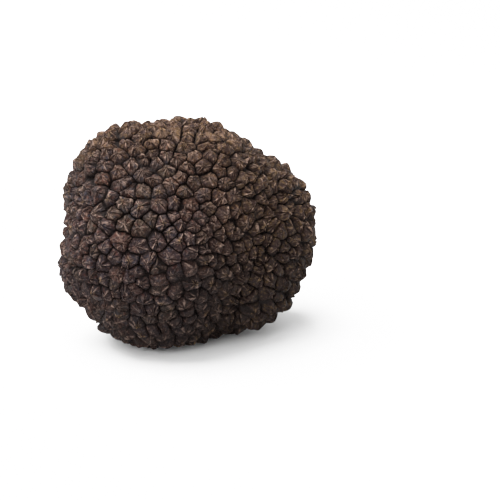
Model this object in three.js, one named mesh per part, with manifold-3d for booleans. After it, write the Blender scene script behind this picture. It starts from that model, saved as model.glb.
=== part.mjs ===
// A whole black truffle, as dug and brushed clean. It is one solid piece: a lumpy fruiting body whose
// skin is raised all over into low pyramid warts, with a groove between each wart and the next.
// It rests on a small spot where the warts are pressed flat.
// Millimetres, +Z up. The origin is on the flat spot, and the front is the -Y side.

import * as THREE from "three";
import { ConvexHull } from "three/addons/math/ConvexHull.js";
import { mergeVertices } from "three/addons/utils/BufferGeometryUtils.js";
import Module from "manifold-3d";

// The body is a smooth union of round lobes, each [x, y, z, radius].
const lobes = {
  front: [-5.3, -7.0, 27.4, 20.0],
  leftShoulder: [-11.0, 1.5, 38.1, 15.5],
  crown: [4.4, 0.0, 36.0, 18.1],
  rightFlank: [6.0, 0.0, 28.0, 16.0],
  right: [15.4, 8.5, 26.0, 18.1],
  back: [-3.0, 8.0, 25.0, 18.0],
  backTop: [3.0, 9.0, 33.0, 15.5],
  leftFlank: [-16.5, -2.5, 20.4, 11.9],
  frontLow: [-4.0, -5.5, 15.8, 14.8],
  heel: [-8.4, -5.5, 12.4, 9.7],
  foot: [0.5, 1.0, 14.2, 13.7],
  rightFoot: [14.1, 4.5, 16.1, 15.2],
};
const lobeBlend = 0.45; // per mm: a higher value makes sharper valleys between the lobes
const bodyMiddle = new THREE.Vector3(0, 0, 27); // every point of the skin is seen from here
const furthestSkin = 60;
const lumpHeight = 0.45; // of the gentle unevenness over the lobes

// The warts, in millimetres
const wartSpacing = 3.2; // between the middles of two ordinary warts
const smallestWart = 0.62; // share of the ordinary spacing
const largestWart = 1.4;
const grooveDepth = 0.45; // below the body's own surface
const tipHeight = 1.0; // above it, on an ordinary wart
const shoulderShare = 0.62; // of the tip's height
const shoulderInset = 0.36; // of the way from the wart's corner to its middle
const plainWart = 1.2; // a wart narrower than this from middle to edge is a plain pyramid
const shortestSide = 0.45; // shorter sides between two corners are closed up
const pressedHeight = 1.2; // the warts rise to full height over this distance above the flat spot
const wartTries = 16000;
const throwSeed = 7;

const skinColour = 0x3a2f2a;

// Draws the same run of numbers from 0 to 1 every time.
function seededDraws(seed) {
  let state = seed >>> 0;
  return () => {
    state = (Math.imul(state, 1664525) + 1013904223) >>> 0;
    return state / 4294967296;
  };
}

// How far outside the lobes' smooth union a point is; negative inside.
function outsideBody(x, y, z) {
  let sum = 0;
  for (const [cx, cy, cz, radius] of Object.values(lobes)) {
    const gap = Math.hypot(x - cx, y - cy, z - cz) - radius;
    sum += Math.exp(-lobeBlend * gap);
  }
  return -Math.log(sum) / lobeBlend;
}

function lump(d) {
  const broad = Math.sin(5.1 * d.x + 1.7) * Math.sin(4.3 * d.y + 0.6);
  const fine = Math.sin(8.2 * d.z + 2.1) * Math.sin(7.6 * d.x - 4.4 * d.y - 0.8);
  return lumpHeight * (broad + 0.7 * fine);
}

// The point of the plain body, without warts, in a direction from its middle.
function bodyPoint(d) {
  let inside = 0;
  let outside = furthestSkin;
  for (let step = 0; step < 30; step++) {
    const half = (inside + outside) / 2;
    const p = d.clone().multiplyScalar(half).add(bodyMiddle);
    if (outsideBody(p.x, p.y, p.z) < 0) inside = half;
    else outside = half;
  }
  return d.clone().multiplyScalar(inside + lump(d)).add(bodyMiddle);
}

// The outward normal of the plain body in a direction, from two short steps along its surface.
function bodyNormal(d) {
  const step = 0.02;
  const aside = Math.abs(d.z) < 0.9 ? new THREE.Vector3(0, 0, 1) : new THREE.Vector3(1, 0, 0);
  const u = new THREE.Vector3().crossVectors(aside, d).normalize();
  const v = new THREE.Vector3().crossVectors(d, u);
  const at = (side, amount) => bodyPoint(d.clone().addScaledVector(side, amount).normalize());
  const alongU = at(u, step).sub(at(u, -step));
  const alongV = at(v, step).sub(at(v, -step));
  return alongU.cross(alongV).normalize();
}

// A point of the skin: the body's surface, raised along its normal, less so close above the flat spot.
function skinPoint(d, raise) {
  const p = bodyPoint(d);
  const free = THREE.MathUtils.smoothstep(p.z, 0, pressedHeight);
  return p.addScaledVector(bodyNormal(d), raise * free);
}

// Wart middles, as directions: each is thrown at random and kept where it has room beside the others.
function wartMiddles(draw) {
  const kept = [];
  for (let k = 0; k < wartTries; k++) {
    const z = 2 * draw() - 1;
    const turn = 2 * Math.PI * draw();
    const size = wartSpacing * (smallestWart + (largestWart - smallestWart) * draw());
    const ring = Math.sqrt(1 - z * z);
    const direction = new THREE.Vector3(ring * Math.cos(turn), ring * Math.sin(turn), z);
    const point = bodyPoint(direction);
    const room = kept.every((w) => w.point.distanceTo(point) > (w.size + size) / 2);
    if (room) kept.push({ direction, point, size });
  }
  return kept.map((w) => w.direction);
}

// The wart's polygons: for each middle, its corners in turn, where the grooves round it meet.
function wartCells(middles) {
  const index = new Map(middles.map((d, i) => [d, i]));
  const hull = new ConvexHull().setFromPoints(middles);
  const corners = [];
  const turns = middles.map(() => new Map()); // a neighbour, to the corner after it and the next one
  for (const face of hull.faces) {
    const [a, b, c] = [0, 1, 2].map((k) => index.get(face.getEdge(k).head().point));
    const corner = corners.length;
    corners.push(face.normal.clone().normalize());
    turns[a].set(b, { corner, next: c });
    turns[b].set(c, { corner, next: a });
    turns[c].set(a, { corner, next: b });
  }
  const rings = turns.map((around) => {
    const ring = [];
    const first = around.keys().next().value;
    let at = first;
    do {
      const { corner, next } = around.get(at);
      ring.push(corner);
      at = next;
    } while (at !== first);
    return ring;
  });
  return closeShortSides(corners, rings);
}

// Two corners closer than shortestSide become one, halfway between them.
function closeShortSides(corners, rings) {
  const points = corners.map(bodyPoint);
  const joined = corners.map((_, i) => i);
  const firstOf = (i) => (joined[i] === i ? i : firstOf(joined[i]));
  for (const ring of rings) {
    ring.forEach((a, k) => {
      const b = ring[(k + 1) % ring.length];
      if (points[a].distanceTo(points[b]) < shortestSide) {
        joined[Math.max(firstOf(a), firstOf(b))] = Math.min(firstOf(a), firstOf(b));
      }
    });
  }
  const sums = corners.map(() => new THREE.Vector3());
  corners.forEach((c, i) => sums[firstOf(i)].add(c));
  const closed = rings.map((ring) => {
    const firsts = ring.map(firstOf);
    return firsts.filter((c, k) => c !== firsts[(k + 1) % firsts.length]);
  });
  return { corners: sums.map((s) => s.normalize()), rings: closed };
}

// The truffle's skin as one closed mesh, with the warts' points and faces in the order that they are made.
function wartedSkin() {
  const draw = seededDraws(throwSeed);
  const middles = wartMiddles(draw);
  const { corners, rings } = wartCells(middles);
  const positions = [];
  const faces = [];
  const addPoint = (d, raise) => {
    skinPoint(d, raise).toArray(positions, positions.length);
    return positions.length / 3 - 1;
  };
  const grooves = new Map(); // a corner, to its point at the bottom of the grooves
  for (const corner of new Set(rings.flat())) grooves.set(corner, addPoint(corners[corner], -grooveDepth));
  rings.forEach((ring, i) => {
    const middle = middles[i];
    const reach = Math.min(...sideDistances(middle, ring.map((c) => corners[c])));
    const height = tipHeight * (0.8 + 0.4 * draw()) * THREE.MathUtils.clamp(reach / 1.6, 0.7, 1.2);
    const tip = addPoint(middle, height);
    const outer = ring.map((c) => grooves.get(c));
    const inner = reach < plainWart ? outer : ring.map((c) => {
      return addPoint(corners[c].clone().lerp(middle, shoulderInset).normalize(), height * shoulderShare);
    });
    ring.forEach((_, k) => {
      const next = (k + 1) % ring.length;
      if (inner !== outer) {
        faces.push(outer[k], outer[next], inner[next], outer[k], inner[next], inner[k]);
      }
      faces.push(inner[k], inner[next], tip);
    });
  });
  return { positions, faces };
}

// How far a wart's middle is from each of its sides, in millimetres.
function sideDistances(middle, corners) {
  const m = bodyPoint(middle);
  const points = corners.map(bodyPoint);
  return points.map((p, k) => {
    const side = new THREE.Line3(p, points[(k + 1) % points.length]);
    return side.closestPointToPoint(m, true, new THREE.Vector3()).distanceTo(m);
  });
}

// The skin, cut level where it rests.
async function truffleGeometry() {
  const wasm = await Module();
  wasm.setup();
  const solidFrom = (points, triangles) => {
    const vertProperties = new Float32Array(points);
    const triVerts = new Uint32Array(triangles);
    return new wasm.Manifold(new wasm.Mesh({ numProp: 3, vertProperties, triVerts }));
  };
  const skinMesh = wartedSkin();
  const whole = solidFrom(skinMesh.positions, skinMesh.faces);
  const floorBlock = new THREE.BoxGeometry(80, 80, 20).translate(0, 0, -10);
  floorBlock.deleteAttribute("normal");
  floorBlock.deleteAttribute("uv");
  const block = mergeVertices(floorBlock);
  const floor = solidFrom(block.attributes.position.array, block.index.array);
  const cut = whole.subtract(floor).getMesh();
  const geometry = new THREE.BufferGeometry();
  geometry.setAttribute("position", new THREE.BufferAttribute(cut.vertProperties, 3));
  geometry.setIndex(new THREE.BufferAttribute(cut.triVerts, 1));
  geometry.computeVertexNormals();
  return geometry;
}

const skin = new THREE.MeshStandardMaterial({
  color: skinColour,
  roughness: 0.85,
  metalness: 0,
  flatShading: true,
});

const truffle = new THREE.Mesh(await truffleGeometry(), skin);
truffle.name = "truffle";

const part = new THREE.Group();
part.add(truffle);

export default part;
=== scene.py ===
import math
from functools import partial

import bmesh
import bpy
import numpy as np
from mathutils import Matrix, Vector


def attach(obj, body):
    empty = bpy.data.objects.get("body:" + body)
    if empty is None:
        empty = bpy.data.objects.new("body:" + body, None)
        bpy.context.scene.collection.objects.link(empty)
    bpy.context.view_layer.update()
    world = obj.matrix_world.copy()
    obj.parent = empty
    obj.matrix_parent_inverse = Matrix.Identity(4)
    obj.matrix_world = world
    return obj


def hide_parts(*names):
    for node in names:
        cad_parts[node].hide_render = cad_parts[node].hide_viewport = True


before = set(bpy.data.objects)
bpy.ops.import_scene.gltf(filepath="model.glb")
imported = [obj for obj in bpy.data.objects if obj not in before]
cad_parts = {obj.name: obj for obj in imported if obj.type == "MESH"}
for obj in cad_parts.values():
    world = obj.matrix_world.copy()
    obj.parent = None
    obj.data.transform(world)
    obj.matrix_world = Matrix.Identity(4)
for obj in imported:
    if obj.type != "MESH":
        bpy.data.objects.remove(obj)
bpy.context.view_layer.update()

print("frame: the CAD truffle is loaded")

# The body in millimetres: round lobes, each x, y, z and radius, that run smoothly into each other
body = {
    "lobes": np.array([
        (-5.3, -7.0, 27.4, 20.0),  # front
        (-11.0, 1.5, 38.1, 15.5),  # left shoulder
        (4.4, 0.0, 36.0, 18.1),  # crown
        (6.0, 0.0, 28.0, 16.0),  # right flank
        (15.4, 8.5, 26.0, 18.1),  # right
        (-3.0, 8.0, 25.0, 18.0),  # back
        (3.0, 9.0, 33.0, 15.5),  # back top
        (-16.5, -2.5, 20.4, 11.9),  # left flank
        (-4.0, -5.5, 15.8, 14.8),  # front low
        (-8.4, -5.5, 12.4, 9.7),  # heel
        (0.5, 1.0, 14.2, 13.7),  # foot
        (14.1, 4.5, 16.1, 15.2),  # right foot
    ]),
    "lobeBlend": 0.45,  # per mm
    "middle": np.array((0.0, 0.0, 27.0)),  # every point of the skin is seen from here
    "radius": 28.0,  # about the usual way from there to the skin
    "furthestSkin": 60.0,
    "halvings": 30,  # of that way, to find the skin
    "lumpHeight": 0.45,
    "normalStep": 0.02,  # sideways, of a unit direction
    "nearlyUpright": 0.9,  # height of a unit direction from which on the sides are taken another way
}


def unit(vectors):
    return vectors / np.linalg.norm(vectors, axis=-1, keepdims=True)


def smoothStep(value, low, high):
    share = np.clip((value - low) / (high - low), 0, 1)
    return share * share * (3 - 2 * share)


def between(limits, share):
    low, high = limits
    return low + (high - low) * share


def lumps(directions):  # gentle unevenness, the same waves as on the CAD solid
    x, y, z = directions.T
    broad = np.sin(5.1 * x + 1.7) * np.sin(4.3 * y + 0.6)
    fine = np.sin(8.2 * z + 2.1) * np.sin(7.6 * x - 4.4 * y - 0.8)
    return body["lumpHeight"] * (broad + 0.7 * fine)


def bodyPoints(directions):  # where rays from the body's middle leave it
    inside = np.zeros(len(directions))
    outside = np.full(len(directions), body["furthestSkin"])
    for _ in range(body["halvings"]):
        half = (inside + outside) / 2
        points = directions * half[:, None] + body["middle"]
        total = np.zeros(len(directions))
        for *middle, radius in body["lobes"]:
            gap = np.linalg.norm(points - middle, axis=1) - radius
            total += np.exp(-body["lobeBlend"] * gap)
        within = total > 1
        inside = np.where(within, half, inside)
        outside = np.where(within, outside, half)
    return directions * (inside + lumps(directions))[:, None] + body["middle"]


def bodyNormals(directions):  # from two short steps along the surface
    steep = np.abs(directions[:, 2:]) > body["nearlyUpright"]
    u = unit(np.cross(np.where(steep, (1.0, 0.0, 0.0), (0.0, 0.0, 1.0)), directions))
    v = np.cross(directions, u)
    along = []
    for side in (u, v):
        step = side * body["normalStep"]
        along.append(bodyPoints(unit(directions + step)) - bodyPoints(unit(directions - step)))
    return unit(np.cross(*along))


def grain(points, size, seed):  # smooth noise from -1 to 1 with lumps of that size
    cells = 32
    lattice = np.random.default_rng(seed).uniform(-1, 1, (cells, cells, cells))
    at = points / size
    low = np.floor(at).astype(int)
    share = smoothStep(at - low, 0, 1)
    total = np.zeros(points.shape[:-1])
    for step in np.ndindex(2, 2, 2):
        weight = np.prod(np.where(step, share, 1 - share), axis=-1)
        x, y, z = np.moveaxis((low + step) % cells, -1, 0)
        total += weight * lattice[x, y, z]
    return total


# The warts, in millimetres. Their middles come from the same seeded draw as those of the CAD solid
warts = {
    "spacing": 3.2,
    "smallest": 0.62,  # share of the spacing
    "largest": 1.4,
    "tries": 16000,
    "most": 2000,  # more than the warts that find room
    "seed": 7,
    "shortestSide": 0.45,  # shorter sides between two corners are closed up
    "pressedHeight": 1.2,  # height over the table at which the warts are full
    "tipHeight": 1.0,
    "tipShares": (0.8, 1.2),  # from the lowest wart to the highest
    "fullReach": 1.6,  # from middle to edge; the wider a wart, the higher it is
    "reachShares": (0.7, 1.2),
    # From here on it is finer than the CAD solid
    "reliefSeed": 41,
    "strips": 4,  # mesh strips along each side of a wart
    "rings": np.array([0, 0.08, 0.2, 0.38, 0.6, 0.82]),  # shares of the way to the tip
    "crossWith": (0.31, -0.17, 0.94),  # no wart's middle lies this way, so it gives each one its sides
    "tipShift": 0.5,  # share of the wart's reach
    "wander": 0.42,  # sideways, of the grooves
    "wanderGrain": (1.3, (5, 6, 7)),  # size in mm, and seeds for x, y and z
    "grooveDepth": 0.4,
    "shallowest": 0.1,  # share of that depth
    "grooveChange": 1.7,  # how much the depth changes along the grooves
    "grooveGrain": (3.0, 32),  # size in mm, and seed
    "cornerPit": 0.45,  # deeper where grooves meet
    "cornerWidth": 0.45,
    "cornerRound": 0.1,
    "wallWidth": 0.1,  # how soon the groove's wall turns into the pyramid
    "wallChange": 0.5,
    "wallGrain": (2.3, 31),
    "edgeHeight": 0.22,  # of the pyramid's foot over the body
    "edgeChange": 0.12,
    "cornerLift": 0.16,  # usual rise or fall of the edge from corner to corner
    "pyramidHeight": 1.25,  # share of the wart's height
    "steepness": (0.8, 1.3),  # below 1 the wart bulges, above 1 it is hollow
    "foldHeight": 0.18,  # ridges and furrows that run to the tip
    "foldChange": 0.8,
    "cornerFold": 0.9,  # mostly a ridge from each corner
    "sideFold": -0.3,  # and mostly a furrow between them
    "foldBow": 0.7,
    "crackShare": 0.09,  # of the furrows that have split open
    "splitShare": 0.2,  # of the warts with a crack right across
    "crackDepth": 0.35,
    "crackReach": (0.25, 0.75),  # share of the way to the tip
    "splitReach": 2.0,  # well past the tip
    "crackFade": 0.12,
    "crackAtGroove": 0.25,  # how open it still is there
    "lean": 0.2,  # slope of a whole wart, usual amount
    "roughGrains": [(1.0, 21, 0.05), (0.5, 22, 0.04)],  # size, seed and height
    "skinDrop": 0.5,  # of the whole relief, so that its tips reach no further than the CAD solid's
    "brim": 0.3,  # height below which the skin counts as sunk
    "sharpEdge": 22.0,  # degrees
    "numberSpread": 40.0,  # sets the streaks of one wart apart from the next one's
}


def seededDraws(seed, count):
    state = seed
    draws = np.empty(count)
    for k in range(count):
        state = (state * 1664525 + 1013904223) % 2**32
        draws[k] = state / 2**32
    return draws


def throwWarts(draws):  # each middle is kept where it has room beside the others
    heights, turns, shares = draws.reshape(-1, 3).T
    z, turn = 2 * heights - 1, 2 * np.pi * turns
    ring = np.sqrt(1 - z * z)
    directions = np.stack([ring * np.cos(turn), ring * np.sin(turn), z], axis=1)
    sizes = warts["spacing"] * (warts["smallest"] + (warts["largest"] - warts["smallest"]) * shares)
    points = bodyPoints(directions)
    kept = []
    for k in range(len(points)):
        gaps = np.linalg.norm(points[kept] - points[k], axis=1)
        if (gaps > (sizes[kept] + sizes[k]) / 2).all():
            kept.append(k)
    return directions[kept]


def wartCells(middles):  # the corners where grooves meet, and each wart's ring of them in turn
    hull = bmesh.new()
    for middle in middles:
        hull.verts.new(middle)
    hull.verts.index_update()
    bmesh.ops.convex_hull(hull, input=hull.verts[:])
    triples = []
    for face in hull.faces:
        a, b, c = (v.index for v in face.verts)
        outward = np.cross(middles[b] - middles[a], middles[c] - middles[a]) @ middles[a] > 0
        triples.append((a, b, c) if outward else (a, c, b))
    hull.free()
    a, b, c = middles[np.array(triples)].transpose(1, 0, 2)
    corners = unit(np.cross(b - a, c - a))
    around = [{} for _ in middles]
    for corner, (a, b, c) in enumerate(triples):
        around[a][b] = corner, c
        around[b][c] = corner, a
        around[c][a] = corner, b
    rings = []
    for turns in around:
        ring, at = [], next(iter(turns))
        for _ in turns:
            corner, at = turns[at]
            ring.append(corner)
        rings.append(ring)
    return closeShortSides(corners, rings)


def closeShortSides(corners, rings):
    points = bodyPoints(corners)
    joined = list(range(len(corners)))

    def firstOf(k):
        return k if joined[k] == k else firstOf(joined[k])

    for ring in rings:
        for a, b in zip(ring, ring[1:] + ring[:1]):
            if np.linalg.norm(points[a] - points[b]) < warts["shortestSide"]:
                first, other = sorted((firstOf(a), firstOf(b)))
                joined[other] = first
    sums = np.zeros_like(corners)
    for k, corner in enumerate(corners):
        sums[firstOf(k)] += corner
    closed = []
    for ring in rings:
        firsts = [firstOf(k) for k in ring]
        closed.append([a for a, b in zip(firsts, firsts[1:] + firsts[:1]) if a != b])
    return unit(np.where(np.any(sums, axis=1, keepdims=True), sums, 1.0)), closed


def wartSides(rings):  # one entry per side of a wart: whose it is, its two corners, and the side after it
    counts = [len(ring) for ring in rings]
    first = np.cumsum([0] + counts)
    after = np.arange(first[-1]) + 1
    after[first[1:] - 1] = first[:-1]
    start = np.concatenate(rings)
    wart = np.repeat(np.arange(len(rings)), counts)
    return {"wart": wart, "first": first, "start": start, "end": start[after], "after": after}


def sideDistances(points, starts, ends, endless=False):  # from points to their sides
    along = ((points - starts) * (ends - starts)).sum(1) / ((ends - starts) ** 2).sum(1)
    along = along if endless else np.clip(along, 0, 1)
    return np.linalg.norm(starts + (ends - starts) * along[:, None] - points, axis=1)


def gridDirections(middles, corners, sides, reach, random):  # strips from each side to the wart's tip
    u = unit(np.cross(middles, warts["crossWith"]))
    v = np.cross(middles, u)
    shift = random.uniform(-1, 1, (len(middles), 2)) * warts["tipShift"] * reach[:, None] / body["radius"]
    tips = unit(middles + shift[:, :1] * u + shift[:, 1:] * v)
    across = np.arange(warts["strips"])[:, None] / warts["strips"]
    border = corners[sides["start"]][:, None] * (1 - across) + corners[sides["end"]][:, None] * across
    border = unit(border)
    size, seeds = warts["wanderGrain"]
    wander = np.stack([grain(border * body["radius"], size, seed) for seed in seeds], axis=-1)
    border = unit(border + wander * warts["wander"] / body["radius"])
    share = warts["rings"][:, None]
    grid = unit(border[:, :, None] * (1 - share) + tips[sides["wart"]][:, None, None] * share)
    return grid, tips, u, v


def grooveWalls(sides, gridPoints, tipPoints, starts, ends):  # 0 at the bottom of a groove, 1 on the wart
    shares = warts["rings"]
    strip = np.arange(warts["strips"]) / warts["strips"]
    depth = sideDistances(tipPoints[sides["wart"]], starts, ends, endless=True)[:, None, None] * shares
    fromCorner = np.minimum(strip, 1 - strip) * np.linalg.norm(ends - starts, axis=1)[:, None]
    nearCorner = np.exp(-((fromCorner / warts["cornerWidth"]) ** 2))[:, :, None]
    depth = depth - warts["cornerRound"] * nearCorner * (1 - shares) ** 2
    width = warts["wallWidth"] * (1 + warts["wallChange"] * grain(gridPoints, *warts["wallGrain"]))
    return 1 - np.exp(-np.clip(depth, 0, None) / width), nearCorner


def foldsAndCracks(sides, rim, random):  # ridges, furrows and open cracks from the sides to the tip
    shape, shares = rim.shape, warts["rings"]
    fold = random.normal(0, warts["foldChange"], shape[:2])
    fold[:, 0] += warts["cornerFold"]
    fold[:, 1:] += warts["sideFold"]
    cracked = random.uniform(0, 1, shape[:2]) < warts["crackShare"]
    split = random.uniform(0, 1, len(sides["first"]) - 1) < warts["splitShare"]
    for wart in np.flatnonzero(split):
        first, end = sides["first"][wart : wart + 2]
        lines = (end - first) * shape[1]
        line = random.integers(lines)
        for k in (line, (line + lines // 2) % lines):
            cracked[first + k // shape[1], k % shape[1]] = True
    reach = random.uniform(*warts["crackReach"], shape[:2])
    reach = np.where(split[sides["wart"]][:, None], warts["splitReach"], reach)
    opened = smoothStep(reach[:, :, None] - (1 - shares), -warts["crackFade"], warts["crackFade"])
    opened = cracked[:, :, None] * opened * between((warts["crackAtGroove"], 1), rim)
    return fold[:, :, None] * (4 * shares * (1 - shares)) ** warts["foldBow"], opened, split


def raiseWarts(sides, gridPoints, tipPoints, starts, ends, height, random):  # over the body, with marks
    count, shares = len(height), warts["rings"]
    owner = sides["wart"][:, None, None]
    rim, nearCorner = grooveWalls(sides, gridPoints, tipPoints, starts, ends)
    fold, opened, split = foldsAndCracks(sides, rim, random)
    looks = random.uniform(0, 1, (count, 4))
    change = 1 + warts["grooveChange"] * grain(gridPoints, *warts["grooveGrain"])
    groove = warts["grooveDepth"] * np.maximum(change, warts["shallowest"]) + warts["cornerPit"] * nearCorner
    edge = random.normal(warts["edgeHeight"], warts["edgeChange"], count)
    pyramid = warts["pyramidHeight"] * height
    steepness = between(warts["steepness"], looks[:, 3])
    raised = (groove + edge[owner]) * rim - groove + pyramid[owner] * shares ** steepness[owner]
    raised += warts["foldHeight"] * fold - warts["crackDepth"] * opened
    lift = random.normal(0, warts["cornerLift"], len(starts))
    lift = between((lift[:, None], lift[sides["after"], None]), np.arange(warts["strips"]) / warts["strips"])
    raised += lift[:, :, None] * rim * (1 - shares)

    def withTips(onGrid, atTips):
        return np.concatenate([np.broadcast_to(onGrid, rim.shape).ravel(), np.broadcast_to(atTips, count)])

    return {
        "raised": withTips(raised, edge + pyramid - warts["crackDepth"] * split),
        "wart": withTips(owner, np.arange(count)),
        "onWart": withTips(rim, 1.0),
        "tipness": withTips(shares, 1.0),
        "fold": withTips(fold, 0.0),
        "opened": withTips(opened, split),
        "looks": looks,
    }


def gridFaces(sides, shape):  # two triangles per strip and ring, and one at the tip
    number = np.arange(np.prod(shape)).reshape(shape)
    side, strip = np.indices(shape[:2])
    last = strip == shape[1] - 1
    beside = number[np.where(last, sides["after"][side], side), (strip + 1) % shape[1]]
    faces = []
    for ring in range(shape[2] - 1):
        a, b = number[:, :, ring], beside[:, :, ring]
        d, c = number[:, :, ring + 1], beside[:, :, ring + 1]
        faces += [np.stack([a, b, c], -1).reshape(-1, 3), np.stack([a, c, d], -1).reshape(-1, 3)]
    tip = np.broadcast_to((number.size + sides["wart"])[:, None], shape[:2])
    faces.append(np.stack([number[:, :, -1], beside[:, :, -1], tip], -1).reshape(-1, 3))
    return np.concatenate(faces)


def joinGrooves(sides, shape, count):  # neighbouring warts share the points along their groove
    start, end, strip = sides["start"][:, None], sides["end"][:, None], np.arange(shape[1])
    key = np.empty((*shape[:2], 3), int)  # the same from both warts
    key[:, :, 0] = np.minimum(start, end)
    key[:, :, 1] = np.maximum(start, end)
    key[:, :, 2] = np.where(start < end, strip, shape[1] - strip)
    key[:, 0] = start  # a corner belongs to three warts or more
    _, firsts, same = np.unique(key.reshape(-1, 3), axis=0, return_index=True, return_inverse=True)
    number = np.arange(count)
    border = number[: np.prod(shape)].reshape(shape)[:, :, 0]
    border[:] = border.ravel()[firsts][same.reshape(border.shape)]
    return number


def skinMesh(sides, shape, skin, marks):
    faces = gridFaces(sides, shape)
    used, merged = np.unique(joinGrooves(sides, shape, len(skin))[faces], return_inverse=True)
    mesh = bpy.data.meshes.new("truffleSkin")
    mesh.from_pydata((skin[used] / 1000).tolist(), [], merged.reshape(-1, 3).tolist())
    for name, values in marks.items():
        attribute = mesh.attributes.new(name, "FLOAT_VECTOR", "CORNER")
        values = np.column_stack(values)[faces.ravel()]
        attribute.data.foreach_set("vector", values.astype(np.float32).ravel())
    mesh.polygons.foreach_set("use_smooth", np.ones(len(faces), bool))
    mesh.set_sharp_from_angle(angle=math.radians(warts["sharpEdge"]))
    mesh.update()
    print("truffle:", len(faces), "triangles")
    return mesh


def makeTruffle():
    throws = 3 * warts["tries"]  # height, turn and size of each
    draws = seededDraws(warts["seed"], throws + warts["most"])
    middles = throwWarts(draws[:throws])
    corners, rings = wartCells(middles)
    sides = wartSides(rings)
    print("warts:", len(middles))

    middlePoints, cornerPoints = bodyPoints(middles), bodyPoints(corners)
    starts, ends = cornerPoints[sides["start"]], cornerPoints[sides["end"]]
    reach = sideDistances(middlePoints[sides["wart"]], starts, ends)
    reach = np.minimum.reduceat(reach, sides["first"][:-1])
    height = warts["tipHeight"] * between(warts["tipShares"], draws[throws : throws + len(middles)])
    height = height * np.clip(reach / warts["fullReach"], *warts["reachShares"])

    random = np.random.default_rng(warts["reliefSeed"])
    grid, tips, u, v = gridDirections(middles, corners, sides, reach, random)
    shape = grid.shape[:3]
    directions = np.concatenate([grid.reshape(-1, 3), tips])
    points, normals = bodyPoints(directions), bodyNormals(directions)
    gridPoints, tipPoints = np.split(points, [np.prod(shape)])
    gridPoints = gridPoints.reshape(*shape, 3)
    relief = raiseWarts(sides, gridPoints, tipPoints, starts, ends, height, random)

    wart = relief["wart"]
    fromMiddle = points - middlePoints[wart]
    place = np.stack([(fromMiddle * u[wart]).sum(1), (fromMiddle * v[wart]).sum(1)], axis=1)
    lean = random.normal(0, warts["lean"], (len(middles), 2))
    raised = (place * lean[wart]).sum(1)
    for size, seed, amount in warts["roughGrains"]:
        raised += amount * grain(points, size, seed)
    raised = relief["raised"] + relief["onWart"] * raised
    raisedHere = (raised - warts["skinDrop"]) * smoothStep(points[:, 2], 0, warts["pressedHeight"])
    skin = points + normals * raisedHere[:, None]
    skin[:, 2] = np.maximum(skin[:, 2], 0)

    number, hue, wear, _ = relief["looks"][wart].T
    mesh = skinMesh(sides, shape, skin, {
        "wartPlace": (*place.T, number * warts["numberSpread"]),  # mm from the middle, and a number
        "wartShape": (warts["brim"] - raised, relief["tipness"], relief["fold"]),
        "wartLook": (hue, wear, relief["opened"]),
    })
    made = bpy.data.objects.new("truffleBody", mesh)
    bpy.context.scene.collection.objects.link(made)
    return made


def hexColour(code):  # sRGB hex to the linear values that a shader takes
    parts = [int(code[k : k + 2], 16) / 255 for k in (1, 3, 5)]
    linear = [p / 12.92 if p <= 0.04045 else ((p + 0.055) / 1.055) ** 2.4 for p in parts]
    return (*linear, 1.0)


def addNode(tree, kind, inputs=None, **settings):  # a node among the inputs gives its first live output
    node = tree.nodes.new(kind)
    for name, value in settings.items():
        setattr(node, name, value)
    for socket, value in (inputs or {}).items():
        if isinstance(value, bpy.types.Node):
            value = next(output for output in value.outputs if output.enabled)
        if isinstance(value, bpy.types.NodeSocket):
            tree.links.new(value, node.inputs[socket])
        else:
            node.inputs[socket].default_value = value
    return node


def emptyMaterial(name):  # and what adds a node to it
    material = bpy.data.materials.new(name)
    material.use_nodes = True
    material.node_tree.nodes.clear()
    return material, partial(addNode, material.node_tree)


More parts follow.
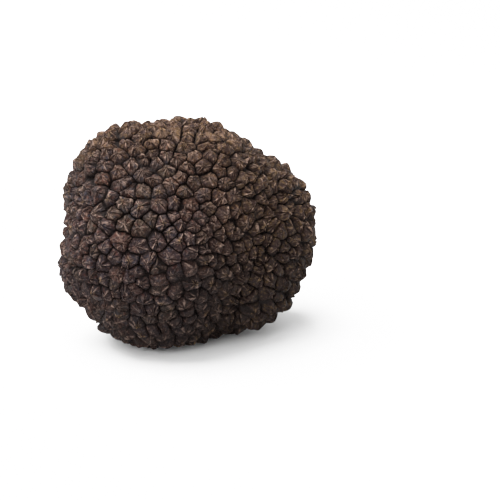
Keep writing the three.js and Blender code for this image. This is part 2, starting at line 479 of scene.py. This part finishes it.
# Dried truffle skin, brushed clean: hard, dark and matte, with pale worn crests that partly serve as painted
# highlights, and soil and painted shade in the grooves
peridium = {
    "facet": "#271d20",
    "umber": "#3a2115",
    "rust": "#43231b",
    "olive": "#352b17",
    "slate": "#1e2029",
    "shade": "#1b0b07",
    # pale: worn ridges and tips, partly painted highlight
    "crest": "#776359",
    "ochre": "#7a5f38",
    # pale dust, and painted light from above on the crown
    "dustAndTopLight": "#6b5440",
    # near black: soil, and painted shade at the bottom, the lower right, in grooves and cracks and round
    # each wart's foot
    "soilAndShade": "#090302",
    "noises": {  # lump size in mm, detail, roughness
        "blotch": (10.0, 4.0, 0.5),
        "mottle": (0.9, 4.0, 0.65),
        "tint": (1.3, 3.0, 0.6),
        "fleck": (0.55, 2.0, 0.6),
        "speck": (0.36, 2.0, 0.5),
    },
    "streak": (0.28, 3.0, 0.6),  # width in mm, detail, roughness
    "streakDrift": 0.6,  # how fast a streak changes along its length
    "relief": {"streak": 0.36, "fleck": 0.34, "speck": 0.26},  # mm
    "bumpStrength": 0.9,
    "noiseSpan": (0.3, 0.7),  # where nearly all of a noise lies
    "roughness": (0.55, 0.85),
    "ior": 1.45,
    "gloss": 0.14,  # the porous skin hides much of its gloss in its own pits
    # From the bottom up: colour, strength, and what each coat needs, from its start to where it is full.
    # Height and east are in millimetres, and sunk is a depth in millimetres below the brim
    "coats": [
        ("umber", 0.65, [("hue", 0.55, 0.9)]),  # every wart has a tint of its own
        ("slate", 0.7, [("wear", 0.5, 1.0)]),
        ("olive", 0.45, [("hue", 0.4, 0.1)]),
        ("olive", 0.5, [("height", 30.0, 58.0)]),
        ("rust", 0.7, [("tint", 0.53, 0.66)]),  # and changes within a millimetre or two
        ("slate", 0.8, [("tint", 0.48, 0.37)]),
        ("umber", 0.4, [("height", 46.0, 56.0)]),  # warmer on the crown
        ("umber", 0.55, [("east", -2.0, 22.0)]),  # and on the right, as painted warm reflected light
        # more painted warm reflected light on the right
        ("olive", 0.45, [("east", 2.0, 22.0)]),
        ("shade", 0.8, [("mottle", 0.57, 0.38)]),
        ("shade", 0.65, [("streak", 0.5, 0.38)]),
        # pale dust, and painted light on the upward faces of the crown
        ("dustAndTopLight", 0.35, [("upward", 0.1, 0.9), ("height", 36.0, 56.0), ("blotch", 0.45, 0.6)]),
        ("soilAndShade", 0.66, [("height", 48.0, 3.0)]),  # painted shade: darker towards the bottom
        ("soilAndShade", 0.6, [("east", -12.0, 12.0), ("height", 40.0, 14.0)]),  # more painted shade, most of all at the lower right
        # the next three coats: pale worn ridges, flecks and tips, partly painted highlight, which fades
        # towards the bottom
        ("crest", 0.85, [("fold", 0.4, 1.4), ("mottle", 0.42, 0.6), ("height", -30.0, 45.0)]),  # ridges
        ("crest", 0.25, [("fleck", 0.55, 0.62), ("height", -20.0, 45.0)]),
        ("crest", 0.85, [("tipness", 0.3, 0.9), ("streak", 0.54, 0.61), ("height", -30.0, 45.0)]),
        ("ochre", 0.6, [("tipness", 0.5, 1.0), ("streak", 0.5, 0.6), ("wear", 0.65, 0.85)]),
        # warm pale patches on the right: painted warm reflected light
        ("ochre", 0.16, [("east", 0.0, 24.0), ("mottle", 0.52, 0.62)]),
        ("ochre", 0.2, [("height", 47.0, 56.0), ("mottle", 0.5, 0.6)]),
        ("shade", 0.7, [("east", -4.0, 20.0), ("mottle", 0.56, 0.42)]),
        ("soilAndShade", 0.5, [("fleck", 0.45, 0.36)]),
        ("soilAndShade", 0.48, [("sunk", -0.35, 0.25), ("height", -5.0, 46.0)]),  # painted shade round the foot of each wart
        # more painted shade at the lower right
        ("soilAndShade", 0.35, [("east", -14.0, 10.0), ("height", 42.0, 14.0)]),
        ("soilAndShade", 0.9, [("streak", 0.41, 0.35)]),  # fine cracks that fan out from the tip
        ("soilAndShade", 0.95, [("sunk", 0.15, 0.6)]),  # soil and painted shade in the grooves
        ("soilAndShade", 0.9, [("opened", 0.4, 0.85)]),  # soil and painted shade in the open cracks
    ],
}


def skinNoises(add, millimetres, x, y, number):
    noises = {}
    for name, (size, detail, rough) in peridium["noises"].items():
        scale = {"Vector": millimetres, "Scale": 1 / size, "Detail": detail, "Roughness": rough}
        noises[name] = add("ShaderNodeTexNoise", scale)

    # Streaks fan out from the tip: the noise reads the direction from it, and only slowly the distance
    size, detail, rough = peridium["streak"]
    flat = add("ShaderNodeCombineXYZ", {0: x, 1: y})
    away = add("ShaderNodeVectorMath", {0: flat}, operation="LENGTH").outputs["Value"]
    bearing = add("ShaderNodeVectorMath", {0: flat}, operation="NORMALIZE")
    drift = {0: away, 1: peridium["streakDrift"], 2: number}
    drift = add("ShaderNodeCombineXYZ", {2: add("ShaderNodeMath", drift, operation="MULTIPLY_ADD")})
    fan = {0: bearing, 1: (1 / size, 1 / size, 1 / size), 2: drift}
    fan = add("ShaderNodeVectorMath", fan, operation="MULTIPLY_ADD")
    streak = {"Vector": fan, "Scale": 1.0, "Detail": detail, "Roughness": rough}
    noises["streak"] = add("ShaderNodeTexNoise", streak)
    return noises


def layCoats(add, values):
    colour = hexColour(peridium["facet"])
    for name, strength, needs in peridium["coats"]:
        cover = strength
        for value, start, full in needs:
            eased = {0: values[value], 1: start, 2: full}
            eased = add("ShaderNodeMapRange", eased, interpolation_type="SMOOTHSTEP")
            cover = add("ShaderNodeMath", {0: cover, 1: eased}, operation="MULTIPLY")
        layer = {0: cover, 6: colour, 7: hexColour(peridium[name])}
        colour = add("ShaderNodeMix", layer, data_type="RGBA")
    return colour


def peridiumMaterial():
    material, add = emptyMaterial("driedTrufflePeridium")
    marks = {}
    for name in ("wartPlace", "wartShape", "wartLook"):
        mark = add("ShaderNodeAttribute", attribute_name=name).outputs["Vector"]
        marks[name] = add("ShaderNodeSeparateXYZ", {0: mark}).outputs
    x, y, number = marks["wartPlace"]
    sunk, tipness, fold = marks["wartShape"]
    hue, wear, opened = marks["wartLook"]
    metres = add("ShaderNodeTexCoord").outputs["Object"]
    millimetres = add("ShaderNodeVectorMath", {0: metres, 3: 1000.0}, operation="SCALE")
    east, _, height = add("ShaderNodeSeparateXYZ", {0: millimetres}).outputs
    normal = add("ShaderNodeNewGeometry").outputs["Normal"]
    upward = add("ShaderNodeSeparateXYZ", {0: normal}).outputs[2]
    values = skinNoises(add, millimetres, x, y, number)
    values |= {"east": east, "height": height, "upward": upward}
    values |= {"sunk": sunk, "tipness": tipness, "fold": fold}
    values |= {"hue": hue, "wear": wear, "opened": opened}
    colour = layCoats(add, values)
    relief = 0.0
    for name, depth in peridium["relief"].items():
        layer = {0: values[name], 1: depth / 1000, 2: relief}
        relief = add("ShaderNodeMath", layer, operation="MULTIPLY_ADD")
    bump = {"Height": relief, "Strength": peridium["bumpStrength"], "Distance": 1.0}
    low, high = peridium["noiseSpan"]
    smooth, rough = peridium["roughness"]
    shader = add("ShaderNodeBsdfPrincipled", {
        "Base Color": colour,
        "Roughness": add("ShaderNodeMapRange", {0: values["mottle"], 1: low, 2: high, 3: smooth, 4: rough}),
        "IOR": peridium["ior"],
        "Specular IOR Level": peridium["gloss"],
        "Normal": add("ShaderNodeBump", bump),
    })
    add("ShaderNodeOutputMaterial", {0: shader})
    return material


truffleBody = makeTruffle()
truffleBody.data.materials.append(peridiumMaterial())
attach(truffleBody, "root")
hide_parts("truffle")
print("truffle: material done")

# A sheet of pale paper under a large softbox that lights it to white, with a weaker one at the front
studio = {
    "tableSize": 6.0,
    "tableDrop": 0.00005,  # keeps the paper just clear of the truffle's flat spot
    "paper": "#d2d2d2",
    "fibre": "#cecece",
    "fibreSize": 3.0,  # mm, of the cloudy look of pulp
    "fibreDetail": 3.0,
    "paperRoughness": (0.85, 0.95),
    "paperIor": 1.5,
    "paperGloss": 0.1,
    "key": {"place": (-0.35, 0.0, 1.0), "size": 0.9, "power": 38.0},
    "front": {"place": (-0.45, -1.0, 0.6), "size": 0.5, "power": 11.0},
    "aim": (0.0, 0.0, 0.03),
    "worldLight": 1.6,
    "whitest": 3.0,  # light that the picture's curve still tells from white
    "highlights": [(0.2, 0.6), (0.333, 0.86), (0.5, 0.955), (0.8, 1.0)],  # share of that, and how it shows
}


def tableTop():
    half = studio["tableSize"] / 2
    square = [(-half, -half, 0), (half, -half, 0), (half, half, 0), (-half, half, 0)]
    mesh = bpy.data.meshes.new("tableTop")
    mesh.from_pydata(square, [], [(0, 1, 2, 3)])
    mesh.materials.append(paperMaterial())
    table = bpy.data.objects.new("tableTop", mesh)
    bpy.context.scene.collection.objects.link(table)
    table.location.z = -studio["tableDrop"]


def paperMaterial():  # uncoated background paper: quite matte, with faint clouds of pulp
    material, add = emptyMaterial("uncoatedPaper")
    at = add("ShaderNodeTexCoord").outputs["Object"]
    clouds = {"Vector": at, "Scale": 1000 / studio["fibreSize"], "Detail": studio["fibreDetail"]}
    pulp = add("ShaderNodeTexNoise", clouds)
    paper, fibre = hexColour(studio["paper"]), hexColour(studio["fibre"])
    smooth, rough = studio["paperRoughness"]
    shader = add("ShaderNodeBsdfPrincipled", {
        "Base Color": add("ShaderNodeMix", {0: pulp, 6: paper, 7: fibre}, data_type="RGBA"),
        "Roughness": add("ShaderNodeMapRange", {0: pulp, 3: smooth, 4: rough}),
        "IOR": studio["paperIor"],
        "Specular IOR Level": studio["paperGloss"],
    })
    add("ShaderNodeOutputMaterial", {0: shader})
    return material


def softbox(name, place, size, power):
    light = bpy.data.lights.new(name, "AREA")
    light.shape = "SQUARE"
    light.size = size
    light.energy = power
    made = bpy.data.objects.new(name, light)
    bpy.context.scene.collection.objects.link(made)
    made.location = place
    made.rotation_euler = (Vector(studio["aim"]) - made.location).to_track_quat("-Z", "Y").to_euler()


def paleRoom():
    world = bpy.data.worlds.new("paleRoom")
    world.use_nodes = True
    background = world.node_tree.nodes["Background"]
    background.inputs["Color"].default_value = (1, 1, 1, 1)
    background.inputs["Strength"].default_value = studio["worldLight"]
    bpy.context.scene.world = world


def softHighlights():  # bright paper fades to white instead of clipping
    settings = bpy.context.scene.view_settings
    settings.view_transform = "Standard"
    settings.use_curve_mapping = True
    mapping = settings.curve_mapping
    mapping.white_level = [studio["whitest"]] * 3
    curve = mapping.curves[3]  # the one for all three colours together
    for light, shown in studio["highlights"]:
        curve.points.new(light, shown)
    for point in curve.points[:2]:  # straight up to the first of them, so that the truffle keeps its tones
        point.handle_type = "VECTOR"
    mapping.update()


tableTop()
for name in ("key", "front"):
    softbox(name, **studio[name])
paleRoom()
softHighlights()
print("studio: table and lights done")

# The camera looks down from the front, and its aim puts the resting spot where the photograph has it
view = {
    "elevation": 18.0,  # degrees
    "distance": 0.6,
    "mmPerPixel": 0.25,
    "originPixel": (179, 336),
    "imageSize": 500,
    "sensor": 36.0,
}


def photoCamera():
    tilt = math.radians(view["elevation"])
    back = Vector((0, -math.cos(tilt), math.sin(tilt)))
    up = Vector((0, math.sin(tilt), math.cos(tilt)))
    metrePerPixel = view["mmPerPixel"] / 1000
    centre = view["imageSize"] / 2
    across = (centre - view["originPixel"][0]) * metrePerPixel
    down = (view["originPixel"][1] - centre) * metrePerPixel
    data = bpy.data.cameras.new("photoCamera")
    data.sensor_width = view["sensor"]
    data.lens = view["sensor"] * view["distance"] / (view["imageSize"] * metrePerPixel)
    camera = bpy.data.objects.new("photoCamera", data)
    bpy.context.scene.collection.objects.link(camera)
    camera.location = Vector((across, 0, 0)) + up * down + back * view["distance"]
    camera.rotation_euler = (-back).to_track_quat("-Z", "Y").to_euler()
    bpy.context.scene.camera = camera


photoCamera()
print("camera: done")
